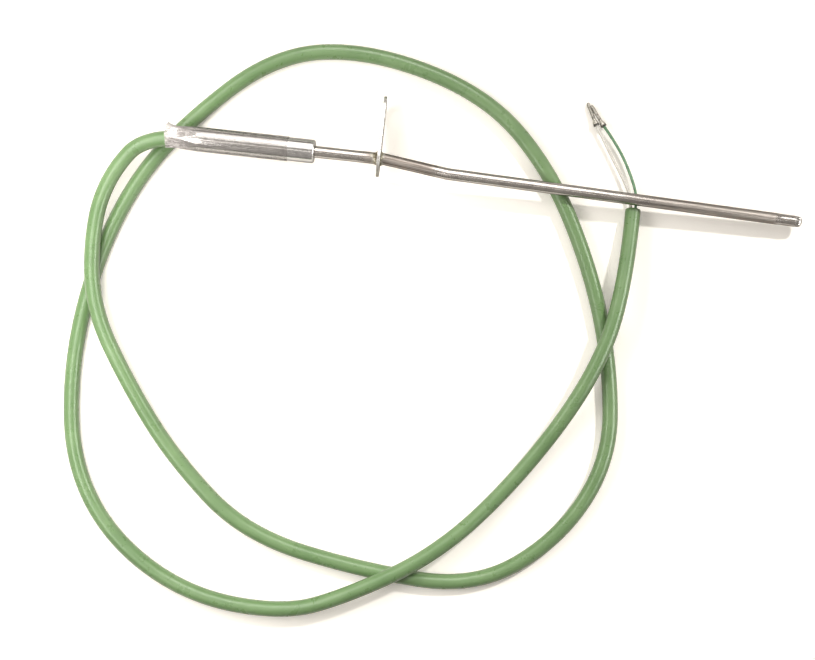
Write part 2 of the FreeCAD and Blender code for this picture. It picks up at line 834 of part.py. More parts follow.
# ---------------------------------------------------------------- check and write
doc.recompute()
faults = [thing.Name for thing in doc.Objects if {"Invalid", "Error"} & set(thing.State)]
for node in nodes:
    shape = node.Shape
    if shape.isNull() or not shape.isValid() or not shape.Solids:
        faults.append(node.Label)
if faults:
    raise ValueError(f"failed: {faults}")

os.makedirs("parts", exist_ok=True)
for node in nodes:
    node.Shape.exportStep(f"parts/{node.Label}.step")
    box = node.Shape.BoundBox
    print(
        f"{node.Label}: {len(node.Shape.Solids)} solid, {node.Shape.Volume:.2f} mm3,"
        f" x {box.XMin:.2f}..{box.XMax:.2f}, y {box.YMin:.2f}..{box.YMax:.2f},"
        f" z {box.ZMin:.2f}..{box.ZMax:.2f}"
    )
print(len(nodes), "nodes")
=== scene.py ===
# %% [markdown]
# # A flame sensor probe
#
# This notebook dresses the solid model of a flame sensor: a bent steel sheath with a tab brazed
# to it, a crimped ferrule under clear film, and a metre of green two-core cable that lies in a
# loose loop. The solid model gives every place and size. Here each visible piece gets the
# surface, the small irregularities and the material that the real one has.
#
# Everything is in metres, in the frame of the solid model: +X runs along the ferrule towards
# the probe's tip, +Z is up, and the surface under the probe is z = 0.

# %% Load the solid model
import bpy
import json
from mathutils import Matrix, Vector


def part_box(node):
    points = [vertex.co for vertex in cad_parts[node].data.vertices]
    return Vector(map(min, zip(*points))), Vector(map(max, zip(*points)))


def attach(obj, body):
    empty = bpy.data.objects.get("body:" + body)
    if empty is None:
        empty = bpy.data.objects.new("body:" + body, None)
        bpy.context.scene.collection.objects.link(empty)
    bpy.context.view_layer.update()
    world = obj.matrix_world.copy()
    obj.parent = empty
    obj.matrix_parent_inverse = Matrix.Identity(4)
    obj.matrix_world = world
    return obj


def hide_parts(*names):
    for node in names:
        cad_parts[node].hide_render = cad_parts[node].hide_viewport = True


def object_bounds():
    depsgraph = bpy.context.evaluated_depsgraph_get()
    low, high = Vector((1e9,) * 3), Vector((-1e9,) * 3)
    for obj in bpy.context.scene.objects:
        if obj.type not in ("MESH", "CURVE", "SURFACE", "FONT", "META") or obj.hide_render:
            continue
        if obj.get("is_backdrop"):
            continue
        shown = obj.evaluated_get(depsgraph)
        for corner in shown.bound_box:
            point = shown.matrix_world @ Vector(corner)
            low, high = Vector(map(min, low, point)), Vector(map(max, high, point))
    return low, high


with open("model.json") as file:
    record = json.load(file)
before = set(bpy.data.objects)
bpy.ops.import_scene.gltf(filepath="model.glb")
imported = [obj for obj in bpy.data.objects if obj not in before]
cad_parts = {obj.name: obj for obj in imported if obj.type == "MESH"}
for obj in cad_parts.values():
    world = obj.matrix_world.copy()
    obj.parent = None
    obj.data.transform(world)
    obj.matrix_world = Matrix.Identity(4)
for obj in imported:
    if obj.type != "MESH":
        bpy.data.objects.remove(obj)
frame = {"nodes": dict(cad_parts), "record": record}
cad_box = [list(corner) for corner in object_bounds()]

import json
import math
import bmesh
import bpy
from mathutils import Matrix, Vector, noise

MM = 0.001
ALONG, LEFT, UP = Vector((1, 0, 0)), Vector((0, 1, 0)), Vector((0, 0, 1))
print("solid model's box, mm:", [[round(value / MM, 1) for value in corner] for corner in cad_box])

# %% [markdown]
# ## Where things are
#
# All positions hang on one point: where the ferrule's axis meets the tab's seating face. The
# boxes of those two solids give it. `at` turns millimetres from that point into the model's
# metres, so the sizes below read like a drawing's.

# %% The datum
ferrule_low, ferrule_high = (Vector(corner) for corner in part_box("transition_ferrule"))
tab_low, tab_high = (Vector(corner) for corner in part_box("mounting_flange"))
film_low, film_high = (Vector(corner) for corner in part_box("shrink_film"))
ferrule_middle = (ferrule_low + ferrule_high) / 2
seat = Vector((tab_high.x, ferrule_middle.y, ferrule_middle.z))


def at(x, y, z):
    """A point given in millimetres from the seat."""
    return seat + Vector((x, y, z)) * MM


def mount(name):
    return next(m for m in frame["record"]["mounts"] if m["name"] == name)


FERRULE_REAR = (ferrule_low.x - seat.x) / MM
FERRULE_FRONT = (ferrule_high.x - seat.x) / MM
FILM_REAR = (film_low.x - seat.x) / MM
FILM_FRONT = (film_high.x - seat.x) / MM
print("seat, mm:", [round(value / MM, 2) for value in seat])
print(f"ferrule, mm: {FERRULE_REAR:.1f} to {FERRULE_FRONT:.1f}")
print(f"film, mm: {FILM_REAR:.1f} to {FILM_FRONT:.1f}")

# %% [markdown]
# ## The camera
#
# The probe is seen from straight above, from 45 cm, a little turned, so that the ferrule slopes
# down to the right. A lens of about 57 mm takes in 28 cm of the surface. There is no depth of
# field, because everything in view lies within 16 mm of the surface.

# %% Camera
def shown(name, data):
    """A new object in the scene."""
    thing = bpy.data.objects.new(name, data)
    bpy.context.collection.objects.link(thing)
    return thing


TURN = math.radians(6.2)
VIEW_HEIGHT = 0.450
VIEW_WIDTH = 0.2836
SENSOR = 36
lens = bpy.data.cameras.new("view")
lens.sensor_width = SENSOR
lens.lens = SENSOR * VIEW_HEIGHT / VIEW_WIDTH
lens.clip_start = 0.01
camera = shown("view", lens)
camera.location = at(15.44, -56.92, 0) + UP * (VIEW_HEIGHT - seat.z)
camera.rotation_euler = (0, 0, TURN)
bpy.context.scene.camera = camera
print("camera at, mm:", [round(value / MM, 1) for value in camera.location])

# %% [markdown]
# ## Node helpers
#
# Every material here is a tree of procedural nodes. `made` adds a node and `feed` sets its
# inputs. `grain` is a noise texture, scaled by axis so that it can run along the probe.
# `shades` maps it to colours, `spread` moves it to another range, and `relief` turns it into
# bumps.

# %% Node helpers
def new_material(name):
    """A material, its node tree and its Principled shader."""
    material = bpy.data.materials.new(name)
    material.use_nodes = True
    tree = material.node_tree
    return material, tree, tree.nodes["Principled BSDF"]


def fill(sockets, values):
    """Gives each input a plain number or colour, or links another node's output to it."""
    for socket, value in zip(sockets, values):
        if isinstance(value, bpy.types.NodeSocket):
            socket.id_data.links.new(value, socket)
        else:
            socket.default_value = (*value, 1) if socket.type == "RGBA" else value


def feed(node, **entries):
    """Fills a node's inputs by name. An underscore stands for a space."""
    fill([node.inputs[name.replace("_", " ")] for name in entries], entries.values())
    return node


def made(tree, kind, output=0, **entries):
    """An output of a new node with its inputs fed."""
    return feed(tree.nodes.new(kind), **entries).outputs[output]


def stretched(tree, scale, source="Object"):
    """The object's coordinates, or its UV map, each axis scaled."""
    coordinates = made(tree, "ShaderNodeTexCoord", source)
    return made(tree, "ShaderNodeMapping", Vector=coordinates, Scale=scale)


def axes(tree, source="Object"):
    """The coordinates' X, Y and Z, each on its own."""
    parts = tree.nodes.new("ShaderNodeSeparateXYZ")
    return feed(parts, Vector=made(tree, "ShaderNodeTexCoord", source)).outputs


def grain(tree, scale, detail=4.0, roughness=0.5, distortion=0.0, source="Object"):
    """Noise between 0 and 1. The scale is one number, or one for each axis."""
    across = stretched(tree, scale if isinstance(scale, tuple) else (scale,) * 3, source)
    entries = {"Detail": detail, "Roughness": roughness, "Distortion": distortion}
    return made(tree, "ShaderNodeTexNoise", Vector=across, Scale=1.0, **entries)


def shades(tree, factor, *stops):
    """Colours or greys at positions from 0 to 1."""
    ramp = feed(tree.nodes.new("ShaderNodeValToRGB"), Fac=factor)
    elements = ramp.color_ramp.elements
    while len(elements) < len(stops):
        elements.new(0.5)
    for element, (position, colour) in zip(elements, stops):
        element.position = position
        element.color = (*colour, 1) if isinstance(colour, tuple) else (colour, colour, colour, 1)
    return ramp.outputs["Color"]


def spread(tree, value, low, high, to_low=0.0, to_high=1.0):
    """A value moved from one range to another and kept inside it."""
    limits = {"From_Min": low, "From_Max": high, "To_Min": to_low, "To_Max": to_high}
    return made(tree, "ShaderNodeMapRange", Value=value, **limits)


def combine(tree, kind, first, second=0.0):
    """Two values compared, added and so on."""
    node = tree.nodes.new("ShaderNodeMath")
    node.operation = kind
    fill(node.inputs, (first, second))
    return node.outputs["Value"]


def times(tree, first, *others):
    """Values multiplied together."""
    for other in others:
        first = combine(tree, "MULTIPLY", first, other)
    return first


def blend(tree, factor, first, second):
    """Two colours mixed."""
    node = tree.nodes.new("ShaderNodeMix")
    node.data_type = "RGBA"
    colours = [socket for socket in node.inputs if socket.type == "RGBA"]
    fill([node.inputs["Factor"], *colours], (factor, first, second))
    return next(socket for socket in node.outputs if socket.type == "RGBA")


def distance_from(tree, vector, point):
    """How far a vector is from a fixed point."""
    node = tree.nodes.new("ShaderNodeVectorMath")
    node.operation = "DISTANCE"
    fill(node.inputs, (vector, point))
    return node.outputs["Value"]


def relief(tree, height, depth, strength=1.0):
    """The normals of a surface with bumps of a depth in metres."""
    return made(tree, "ShaderNodeBump", Height=height, Distance=depth, Strength=strength)


print("helpers ready")

# %% [markdown]
# ## The room
#
# A plain pale room, as a world background. Its light is weak, a little stronger overhead and at
# the cable's side, and only opens the shadows. The camera sees a white backdrop instead. Metal
# shows what it mirrors, so reflections get twice the light, and past the two ends of the probe
# they meet the pale backdrop near the horizon.

# %% Room
world = bpy.data.worlds.new("room")
bpy.context.scene.world = world
world.use_nodes = True
bpy.context.scene.view_settings.view_transform = "Standard"
ROOM_LIGHT = (1.0, 0.94, 0.87)
WHITE = (1.0, 1.0, 1.0)
tree = world.node_tree
path = tree.nodes.new("ShaderNodeLightPath").outputs
way = axes(tree, "Generated")
level = times(
    tree,
    spread(tree, way["Z"], 0.0, 0.35, 0.10, 0.20),
    spread(tree, way["Y"], -0.8, 0.4, 0.85, 1.0),
    spread(tree, way["X"], -0.35, 0.25, 1.30, 0.85),
    combine(tree, "ADD", path["Is Glossy Ray"], 1.0),
)
ends = times(
    tree,
    path["Is Glossy Ray"],
    spread(tree, combine(tree, "ABSOLUTE", way["X"]), 0.30, 0.55, 0.0, 0.95),
    spread(tree, way["Z"], 0.25, 0.60, 1.0, 0.0),
)
level = combine(tree, "MAXIMUM", combine(tree, "MAXIMUM", level, ends), path["Is Camera Ray"])
tint = blend(tree, path["Is Camera Ray"], ROOM_LIGHT, WHITE)
feed(tree.nodes["Background"], Color=tint, Strength=level)
print("room:", len(tree.nodes), "nodes")

# %% [markdown]
# ## The lamps
#
# A broad window on the far side gives most of the light. A pane of it, which only reflections
# see, draws the long white line on every polished tube, and a strip overhead adds a fainter
# second line. Glint, spark and end glint are small bright things that show in the crimp, in the
# second bend and near the tip. The fill lights the cable's side, and gleam and side are long
# reflections on its left and right strands. A far lamp beyond the tip gives the probe a clear
# shadow that fades towards the cable.

# %% Lamps
def aim(name, light, target, angles, distance, watts, colour):
    """A lamp that faces a point on the surface, from an azimuth and an elevation in degrees."""
    light.energy = watts
    light.color = colour
    thing = shown(name, light)
    turn, rise = (math.radians(angle) for angle in angles)
    way = Vector((math.cos(rise) * math.cos(turn), math.cos(rise) * math.sin(turn), math.sin(rise)))
    thing.location = Vector((*target, 0)) + way * distance
    thing.rotation_euler = way.to_track_quat("Z", "Y").to_euler()
    return thing


MIDDLE = (camera.location.x, camera.location.y)
BESIDE = (MIDDLE[0] - 0.031, MIDDLE[1])
SMALL = (1.0, 0.98, 0.95)
SOFT = (1.0, 0.985, 0.96)
STRAND = (1.0, 0.99, 0.97)
# Name, target, angles, distance, width and height in metres, watts, colour, and which kind of
# ray leaves the lamp out.
PANELS = (
    ("window", BESIDE, (89, 48), 1.5, (0.86, 1.6), 6.3, (1.0, 0.975, 0.94), None),
    ("pane", BESIDE, (89, 48), 1.49, (0.86, 0.22), 4.3, SOFT, "diffuse"),
    ("ceiling", MIDDLE, (270, 81), 1.2, (1.3, 0.06), 0.5, (1.0, 0.96, 0.90), None),
    ("glint", (-0.1245, -0.007), (270, 71), 0.127, (0.009, 0.085), 0.012, SMALL, None),
    ("spark", (0.0144, -0.006), (263.2, 63), 0.53, (0.011, 0.36), 0.045, SMALL, None),
    ("end_glint", (0.2545, -0.01), (90, 46), 0.42, (0.024, 0.12), 0.060, SMALL, None),
    ("fill", (-0.150, -0.050), (180, 82), 0.16, (0.26, 0.16), 0.66, SOFT, "glossy"),
    ("gleam", (-0.178, -0.070), (180, 88), 0.20, (0.36, 0.05), 0.34, STRAND, "diffuse"),
    ("side", (0.050, 0.000), (0, 39), 0.50, (0.54, 0.20), 2.6, STRAND, "diffuse"),
)
for name, target, angles, distance, size, watts, colour, without in PANELS:
    light = bpy.data.lights.new(name, "AREA")
    light.shape = "RECTANGLE"
    light.size, light.size_y = size
    panel = aim(name, light, target, angles, distance, watts, colour)
    panel.visible_diffuse = without != "diffuse"
    panel.visible_glossy = without != "glossy"

far_light = bpy.data.lights.new("lamp", "SPOT")
far_light.spot_size = math.radians(9)
far_light.spot_blend = 0.9
far_light.shadow_soft_size = 0.11
far_lamp = aim("lamp", far_light, (0.110, -0.085), (60, 45), 3.0, 272, (1.0, 0.985, 0.965))
far_lamp.visible_glossy = False

# %% [markdown]
# ## Mesh helpers
#
# Most pieces of the probe are turned or drawn, so one builder makes them all. `skin` joins rings
# of points, one for each station along a piece, into a closed surface. A ring of one point is a
# pole, and `loop` joins the last ring to the first, which makes a tube with walls. The UV map
# counts millimetres along the piece and one turn round it.

# %% Mesh helpers
def mesh_from(name, build):
    """A mesh made from a bmesh, which is then freed."""
    mesh = bpy.data.meshes.new(name)
    build.to_mesh(mesh)
    build.free()
    return mesh


def finished(name, build, material, crease):
    """A smooth piece from a bmesh, on the probe's body. Over crease degrees an edge is sharp."""
    mesh = mesh_from(name, build)
    mesh.shade_smooth()
    mesh.set_sharp_from_angle(angle=math.radians(crease))
    mesh.materials.append(material)
    thing = shown(name, mesh)
    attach(thing, "root")
    print(f"{name}: {len(mesh.polygons)} faces")
    return thing


def add_rings(build, rings, loop=False):
    """A closed surface through rings of points, added to a bmesh."""
    uv = build.loops.layers.uv.new("UVMap")
    rows = [[build.verts.new(point) for point in ring] for ring in rings]
    stations = [0.0]
    for first, second in zip(rings, rings[1:]):
        stations.append(stations[-1] + (second[0] - first[0]).length / MM)
    pairs = list(zip(range(len(rows) - 1), range(1, len(rows))))
    if loop:
        pairs.append((len(rows) - 1, 0))
    for low, high in pairs:
        first, second = rows[low], rows[high]
        count = max(len(first), len(second))
        for step in range(count):
            after = (step + 1) % count
            corners = [(first[step % len(first)], low, step)]
            if len(first) > 1:
                corners.append((first[after], low, step + 1))
            if len(second) > 1:
                corners.append((second[after], high, step + 1))
            corners.append((second[step % len(second)], high, step))
            face = build.faces.new([corner[0] for corner in corners])
            for corner, (_, row, turn) in zip(face.loops, corners):
                corner[uv].uv = (stations[row], turn / count)
    bmesh.ops.recalc_face_normals(build, faces=build.faces)


def skin(name, rings, material, loop=False, crease=38):
    """A piece with a closed surface through rings of points."""
    build = bmesh.new()
    add_rings(build, rings, loop)
    return finished(name, build, material, crease)


def angles_round(count):
    return [2 * math.pi * step / count for step in range(count)]


def ring(centre, along, radius, count):
    """A ring of points round a centre. Angle 0 is up, and 90 degrees is to the left.

    radius is a number in millimetres, or a function of the angle in radians.
    """
    left = UP.cross(along).normalized()
    high = along.cross(left).normalized()
    points = []
    for angle in angles_round(count):
        reach = radius(angle) if callable(radius) else radius
        points.append(centre + (high * math.cos(angle) + left * math.sin(angle)) * reach * MM)
    return points


def on_probe(station, angle, reach):
    """A point at a station and an angle, reach away from the ferrule's axis, in millimetres."""
    return at(station, 0, 0) + (UP * math.cos(angle) + LEFT * math.sin(angle)) * reach * MM


def turned(profile, start, along, count):
    """Rings for a turned shape from (station, radius) pairs in millimetres."""
    rings = []
    for station, radius in profile:
        centre = start + along * station * MM
        rings.append([centre] if radius == 0 else ring(centre, along, radius, count))
    return rings


def mesh_of(data):
    """The mesh that a curve's data makes."""
    holder = bpy.data.objects.new("holder", data)
    mesh = bpy.data.meshes.new_from_object(holder)
    bpy.data.objects.remove(holder)
    return mesh


print("mesh helpers ready")

# %% [markdown]
# ## The surface under the probe
#
# A sheet of pale board. The camera, and part of every reflection in the metal, see it a little
# lifted by light of its own, which makes it plain white and keeps the shadows on it. Far from
# the probe the camera sees it glow, so it runs into the white backdrop. The light that it
# throws back on the probe stays that of a pale board.

# %% Floor
MIRRORED_FLOOR = 0.45
FLOOR_GLOW = 0.20
build = bmesh.new()
bmesh.ops.create_grid(build, x_segments=8, y_segments=8, size=3.0)
floor = shown("floor", mesh_from("floor", build))
board, tree, shader = new_material("pale_board")
patches = grain(tree, 6, 3.0)
paper = shades(tree, patches, (0.35, (0.50, 0.485, 0.46)), (0.65, (0.54, 0.525, 0.50)))
path = tree.nodes.new("ShaderNodeLightPath").outputs
seen = times(tree, path["Is Glossy Ray"], MIRRORED_FLOOR)
for kind in ("Is Camera Ray", "Is Transmission Ray"):
    seen = combine(tree, "MAXIMUM", seen, path[kind])
distance = distance_from(tree, stretched(tree, (1, 1, 1)), at(15, -55, 0))
far_off = times(tree, spread(tree, distance, 0.20, 0.55, 0.0, 0.9), path["Is Camera Ray"])
feed(
    shader,
    Base_Color=blend(tree, seen, paper, (0.985, 0.945, 0.88)),
    Roughness=0.75,
    Specular_IOR_Level=0.2,
    Normal=relief(tree, grain(tree, 900, 3.0), 0.00004, 0.3),
    Emission_Color=(1, 0.95, 0.88),
    Emission_Strength=combine(tree, "ADD", times(tree, seen, FLOOR_GLOW), far_off),
)
floor.data.materials.append(board)
floor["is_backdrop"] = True
print("floor at z =", floor.location.z)

# %% [markdown]
# ## The cable's line
#
# A free cable lies in one smooth curve, whose bends come from its stiffness. A NURBS curve of
# order 3 does that: it glides past its control points instead of stopping at them. The points
# are the ones the solid model's cable follows, counted from the film's rear end. The cable
# leaves level, bends down to the surface, goes round once and three quarters, and crosses over
# itself in long low humps. `use_endpoint_u` makes the curve start and end on its first and last
# points.

# %% The cable's route
CABLE = 5.3
CROSSING_GAP = 0.35
LOW = CABLE / 2 - seat.z / MM
OVER = LOW + CABLE + CROSSING_GAP
mouth = at(FILM_REAR, 0, 0)
ROUTE = (
    (11.5, 0, 0), (-6.5, 0, 0), (-17.5, -14.5, -0.6), (-22, -32, OVER), (-19.5, -60, OVER),
    (-4.5, -86, -4.4), (13.5, -110, LOW), (41, -133.5, LOW), (84, -141.5, LOW), (122, -143, LOW),
    (149, -123, LOW), (163.5, -94, LOW), (160, -62, LOW), (150, -30, LOW), (132, 3.5, LOW),
    (107, 27, LOW), (66, 38, LOW), (33, 33, LOW), (3, 4, LOW), (-12.5, -20, LOW), (-22, -50, LOW),
    (-25.5, -82, LOW), (-21.5, -115, LOW), (-5, -140, LOW), (23.5, -156.5, LOW),
    (57, -158.5, -4.9), (78, -149.5, OVER), (106.5, -132.5, OVER), (131, -106, LOW),
    (152.5, -69.5, OVER), (161.5, -38, OVER), (162, -7.4, LOW),
)


def spline_curve(name, points, diameter, material):
    """A round cord as one open NURBS spline. Points are in metres, the diameter in millimetres."""
    curve = bpy.data.curves.new(name, "CURVE")
    curve.dimensions = "3D"
    curve.resolution_u = 14
    curve.bevel_depth = diameter / 2 * MM
    curve.bevel_resolution = 8
    curve.use_fill_caps = True
    spline = curve.splines.new("NURBS")
    spline.points.add(len(points) - 1)
    for knot, point in zip(spline.points, points):
        knot.co = (*point, 1)
    spline.order_u = 3
    spline.use_endpoint_u = True
    curve.materials.append(material)
    thing = shown(name, curve)
    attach(thing, "root")
    return thing


def spline_line(cord):
    """The points of a cord's centreline, from the curve itself with its thickness left out."""
    bare = cord.data.copy()
    bare.bevel_depth = 0
    mesh = mesh_of(bare)
    line = [vertex.co.copy() for vertex in mesh.vertices]
    bpy.data.meshes.remove(mesh)
    bpy.data.curves.remove(bare)
    return line


def line_length(line):
    return sum((b - a).length for a, b in zip(line, line[1:]))


print(len(ROUTE), "points")

# %% [markdown]
# ## The cable's jacket
#
# Soft green PVC, extruded smooth. Extrusion leaves a slight mottling and fine dark specks,
# handling leaves duller patches, and the gloss is that of a vinyl skin: one clear highlight
# with a soft edge.

# %% Jacket material
vinyl, tree, shader = new_material("green_vinyl")
cloud = grain(tree, 70, 5.0, 0.6)
dark, middling, pale = (0.120, 0.214, 0.082), (0.145, 0.245, 0.100), (0.172, 0.278, 0.120)
tone = shades(tree, cloud, (0.30, dark), (0.52, middling), (0.74, pale))
fine = grain(tree, 1400, 2.0)
specks = spread(tree, fine, 0.58, 0.78, 0.0, 0.16)
uneven = combine(tree, "ADD", cloud, times(tree, fine, 0.12))
feed(
    shader,
    Base_Color=blend(tree, specks, tone, (0.10, 0.18, 0.07)),
    Roughness=spread(tree, grain(tree, 220, 4.0, 0.6), 0.35, 0.7, 0.26, 0.36),
    Normal=relief(tree, uneven, 0.0002, 0.35),
    Specular_IOR_Level=0.7,
    Subsurface_Weight=0.08,
    Subsurface_Scale=0.0006,
    Subsurface_Radius=(0.5, 1.0, 0.4),
)
print("jacket material:", vinyl.name)

# %% The jacket
jacket = spline_curve("jacket", [mouth + Vector(point) * MM for point in ROUTE], CABLE, vinyl)
jacket_line = spline_line(jacket)
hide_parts("cable_jacket")
print(f"jacket: {line_length(jacket_line) / MM:.0f} mm along its centreline")

# %% [markdown]
# The jacket was cut with a blade that dragged its soft edge over, so the end is a rounded rim
# round a dark hollow. A turned ring over the curve's flat end shows that. Its profile lists
# how far each point lies beyond the cut and how far out, in millimetres.

# %% The jacket's cut end
cut_way = (jacket_line[-1] - jacket_line[-2]).normalized()
RIM = (
    (-1.3, 2.655), (-0.7, 2.668), (-0.2, 2.665), (0.12, 2.60), (0.34, 2.44), (0.44, 2.20),
    (0.40, 1.95), (0.22, 1.76), (-0.10, 1.68), (-0.50, 1.66), (-1.3, 1.66),
)
rim = skin("jacket_end", turned(RIM, jacket_line[-1], cut_way, 64), vinyl, loop=True, crease=60)

# %% [markdown]
# ## Steel
#
# The sheath, tab and ferrule are stainless steel, each worked another way, so one recipe with
# different numbers serves them all: fine lines along the piece from drawing or turning, faint
# clouding, and a roughness that varies with both. Where the brazing torch or the flame has
# reached, the sheath keeps a brown tint that fades with distance. On the tab, a darker patch
# below the seat is painted shade, and on every piece the colour darkens where the surface turns
# away, which is painted shade too.

# %% Steel recipe
def along_probe(tree, *stops):
    """A value that changes along the probe. Stops are (millimetres from the seat, value)."""
    first, last = stops[0][0], stops[-1][0]
    share = spread(tree, axes(tree)["X"], seat.x + first * MM, seat.x + last * MM)
    return shades(tree, share, *[((x - first) / (last - first), value) for x, value in stops])


def off_axis(tree, low=0.0):
    """The distance from the line of the seat, or from low below it along Y, in millimetres."""
    across = stretched(tree, (0, 1 / MM, 1 / MM))
    return distance_from(tree, across, (0, seat.y / MM - low, seat.z / MM))


def steel(name, colour, roughness, lines, line_depth, dull=None, painted_shade_reach=None, rim_share_under_painted_shade=0.55):
    """Worked stainless steel. lines scales the texture along x, y and z, so its grain runs.

    dull lists how far the torch or the flame has browned the steel along the probe. The next
    number is how many millimetres round a point below the seat a flat piece gets painted
    shade. The last is the share of its colour that the steel keeps where it turns away: these
    darker rims are painted shade too.
    """
    material, tree, shader = new_material(name)
    streaks = grain(tree, lines, 5.0, 0.65)
    clouds = grain(tree, 300, 4.0, 0.6)
    both = times(tree, combine(tree, "ADD", streaks, clouds), 0.5)
    dark = tuple(value * 0.80 for value in colour)
    pale = tuple(min(value * 1.12, 1.0) for value in colour)
    tone = shades(tree, both, (0.32, dark), (0.5, colour), (0.68, pale))
    gloss = spread(tree, both, 0.3, 0.7, roughness * 0.75, roughness * 1.35)
    if dull:
        browning_and_painted_shade = along_probe(tree, *dull)
        scratches = grain(tree, (0.02, 14.0, 1.0), 5.0, 0.75, source="UV")
        brown, worn = (0.18, 0.150, 0.128), (0.50, 0.450, 0.41)
        tone = blend(tree, browning_and_painted_shade, tone, shades(tree, scratches, (0.40, brown), (0.58, worn)))
        duller = times(tree, combine(tree, "POWER", browning_and_painted_shade, 2.0), 0.32)
        gloss = combine(tree, "ADD", gloss, duller)
    # Painted shade: a darker patch on the tab round a point below the seat.
    if painted_shade_reach:
        browning_and_painted_shade = spread(tree, off_axis(tree, PAINTED_SHADE_DROP), painted_shade_reach * 0.62, painted_shade_reach, 1.0, 0.0)
        browning_and_painted_shade = times(tree, browning_and_painted_shade, spread(tree, clouds, 0.35, 0.6, 0.7, 1.0))
        tone = blend(tree, browning_and_painted_shade, tone, (0.30, 0.28, 0.23))
        gloss = combine(tree, "ADD", gloss, times(tree, browning_and_painted_shade, 0.25))
    # Painted shade: the colour darkens towards black where the surface turns away.
    facing = made(tree, "ShaderNodeLayerWeight", "Facing")
    share_kept_under_painted_shade = spread(tree, facing, 0.22, 0.60, 1.0, rim_share_under_painted_shade)
    feed(
        shader,
        Base_Color=blend(tree, share_kept_under_painted_shade, (0.0, 0.0, 0.0), tone),
        Roughness=gloss,
        Normal=relief(tree, streaks, line_depth * MM, 0.4),
        Metallic=1.0,
        Specular_Tint=(0.45, 0.44, 0.43),
    )
    return material


# How far below the seat, along Y, the tab's painted shade is centred, in millimetres.
PAINTED_SHADE_DROP = 3.4
# How brown the sheath is: by the torch on both sides of the tab, by the flame near the tip.
BROWNED = (
    (-36, 0.0), (-8, 0.05), (-3, 1.0), (17, 1.0), (20.5, 0.2), (28, 0.0), (70, 0.03), (84, 0.25),
    (97, 0.7), (136, 0.8), (138, 0.1), (146, 0.1),
)
drawn_steel = steel("drawn_steel", (0.62, 0.585, 0.555), 0.17, (60, 2600, 2600), 0.010, BROWNED)
turned_steel = steel("turned_steel", (0.74, 0.73, 0.72), 0.16, (500, 1500, 1500), 0.008)
strip_steel = steel(
    "strip_steel", (0.80, 0.79, 0.76), 0.26, (1500, 250, 1500), 0.010, painted_shade_reach=5.6, rim_share_under_painted_shade=0.95
)
tip_steel = steel("tip_steel", (0.50, 0.48, 0.46), 0.18, (400, 2200, 2200), 0.012)
print("steels:", [m.name for m in bpy.data.materials if "steel" in m.name])

# %% [markdown]
# ## The sheath
#
# One drawn tube, bent by hand in a jig: level in the ferrule and through the tab, then a short
# run that sets it over and down, then straight to the tip. Drawn tube is never quite round, so
# slow noise moves its wall by a hundredth of a millimetre. The last few millimetres are swaged
# thinner, with faint marks of the tool.

# %% The sheath's axis
BEND_RADIUS = 12.0
FIRST_BEND = 1.6
OFFSET_LENGTH = 21.7
OFFSET_YAW, OFFSET_TILT = math.radians(-6.8), math.radians(-1.5)
PROBE_LENGTH = 123.2
TIP_LENGTH = 2.4
level_way = Vector((math.cos(OFFSET_YAW), math.sin(OFFSET_YAW), 0))
offset_way = level_way * math.cos(OFFSET_TILT) + UP * math.sin(OFFSET_TILT)
PROBE_WAY = Vector(mount("sheath")["axis"]).normalized()
first_bend = at(FIRST_BEND, 0, 0)
second_bend = first_bend + offset_way * OFFSET_LENGTH * MM
tip_base = second_bend + PROBE_WAY * (PROBE_LENGTH - TIP_LENGTH) * MM


def straight(first, last):
    """Centres and directions along a straight run, about every half millimetre."""
    reach = last - first
    count = max(1, round(reach.length / MM / 0.5))
    return [(first + reach * step / count, reach.normalized()) for step in range(count + 1)]


def bent_axis(corners, radius):
    """Centres and directions along straight runs and the arcs that join them, in order."""
    stations = []
    start = corners[0]
    for before, corner, after in zip(corners, corners[1:], corners[2:]):
        back = (before - corner).normalized()
        ahead = (after - corner).normalized()
        half_turn = (math.pi - back.angle(ahead)) / 2
        setback = radius * MM * math.tan(half_turn)
        enter = corner + back * setback
        inward = (back + ahead).normalized()
        centre = corner + inward * (radius * MM / math.cos(half_turn))
        stations += straight(start, enter)
        spin_axis = (enter - centre).cross(-back).normalized()
        turns = max(4, round(2 * half_turn * radius / 0.25))
        for number in range(1, turns):
            spin = Matrix.Rotation(2 * half_turn * number / turns, 3, spin_axis)
            stations.append((centre + spin @ (enter - centre), spin @ -back))
        start = corner + ahead * setback
    return stations + straight(start, corners[-1])


HELD_IN_FERRULE = 12
sheath_start = at(FERRULE_FRONT - HELD_IN_FERRULE, 0, 0)
sheath_axis = bent_axis([sheath_start, first_bend, second_bend, tip_base], BEND_RADIUS)
print(len(sheath_axis), "stations along the sheath")

# %% The sheath
SHEATH = 4.0
SHEATH_BORE = 2.8
SWAGE_START = 5.8
SWAGE_DEPTH = 0.09
RIBS = 8
WOBBLE = 0.012
OUT_OF_ROUND = 0.010
TOOL_MARKS = 0.022


def sheath_radius(centre):
    """The sheath's outer radius at a point of its axis, in millimetres."""
    left_over = (tip_base - centre).dot(PROBE_WAY) / MM
    swaged = 0.5 + 0.5 * math.tanh((SWAGE_START - left_over) * 2.5)
    return SHEATH / 2 - SWAGE_DEPTH * swaged


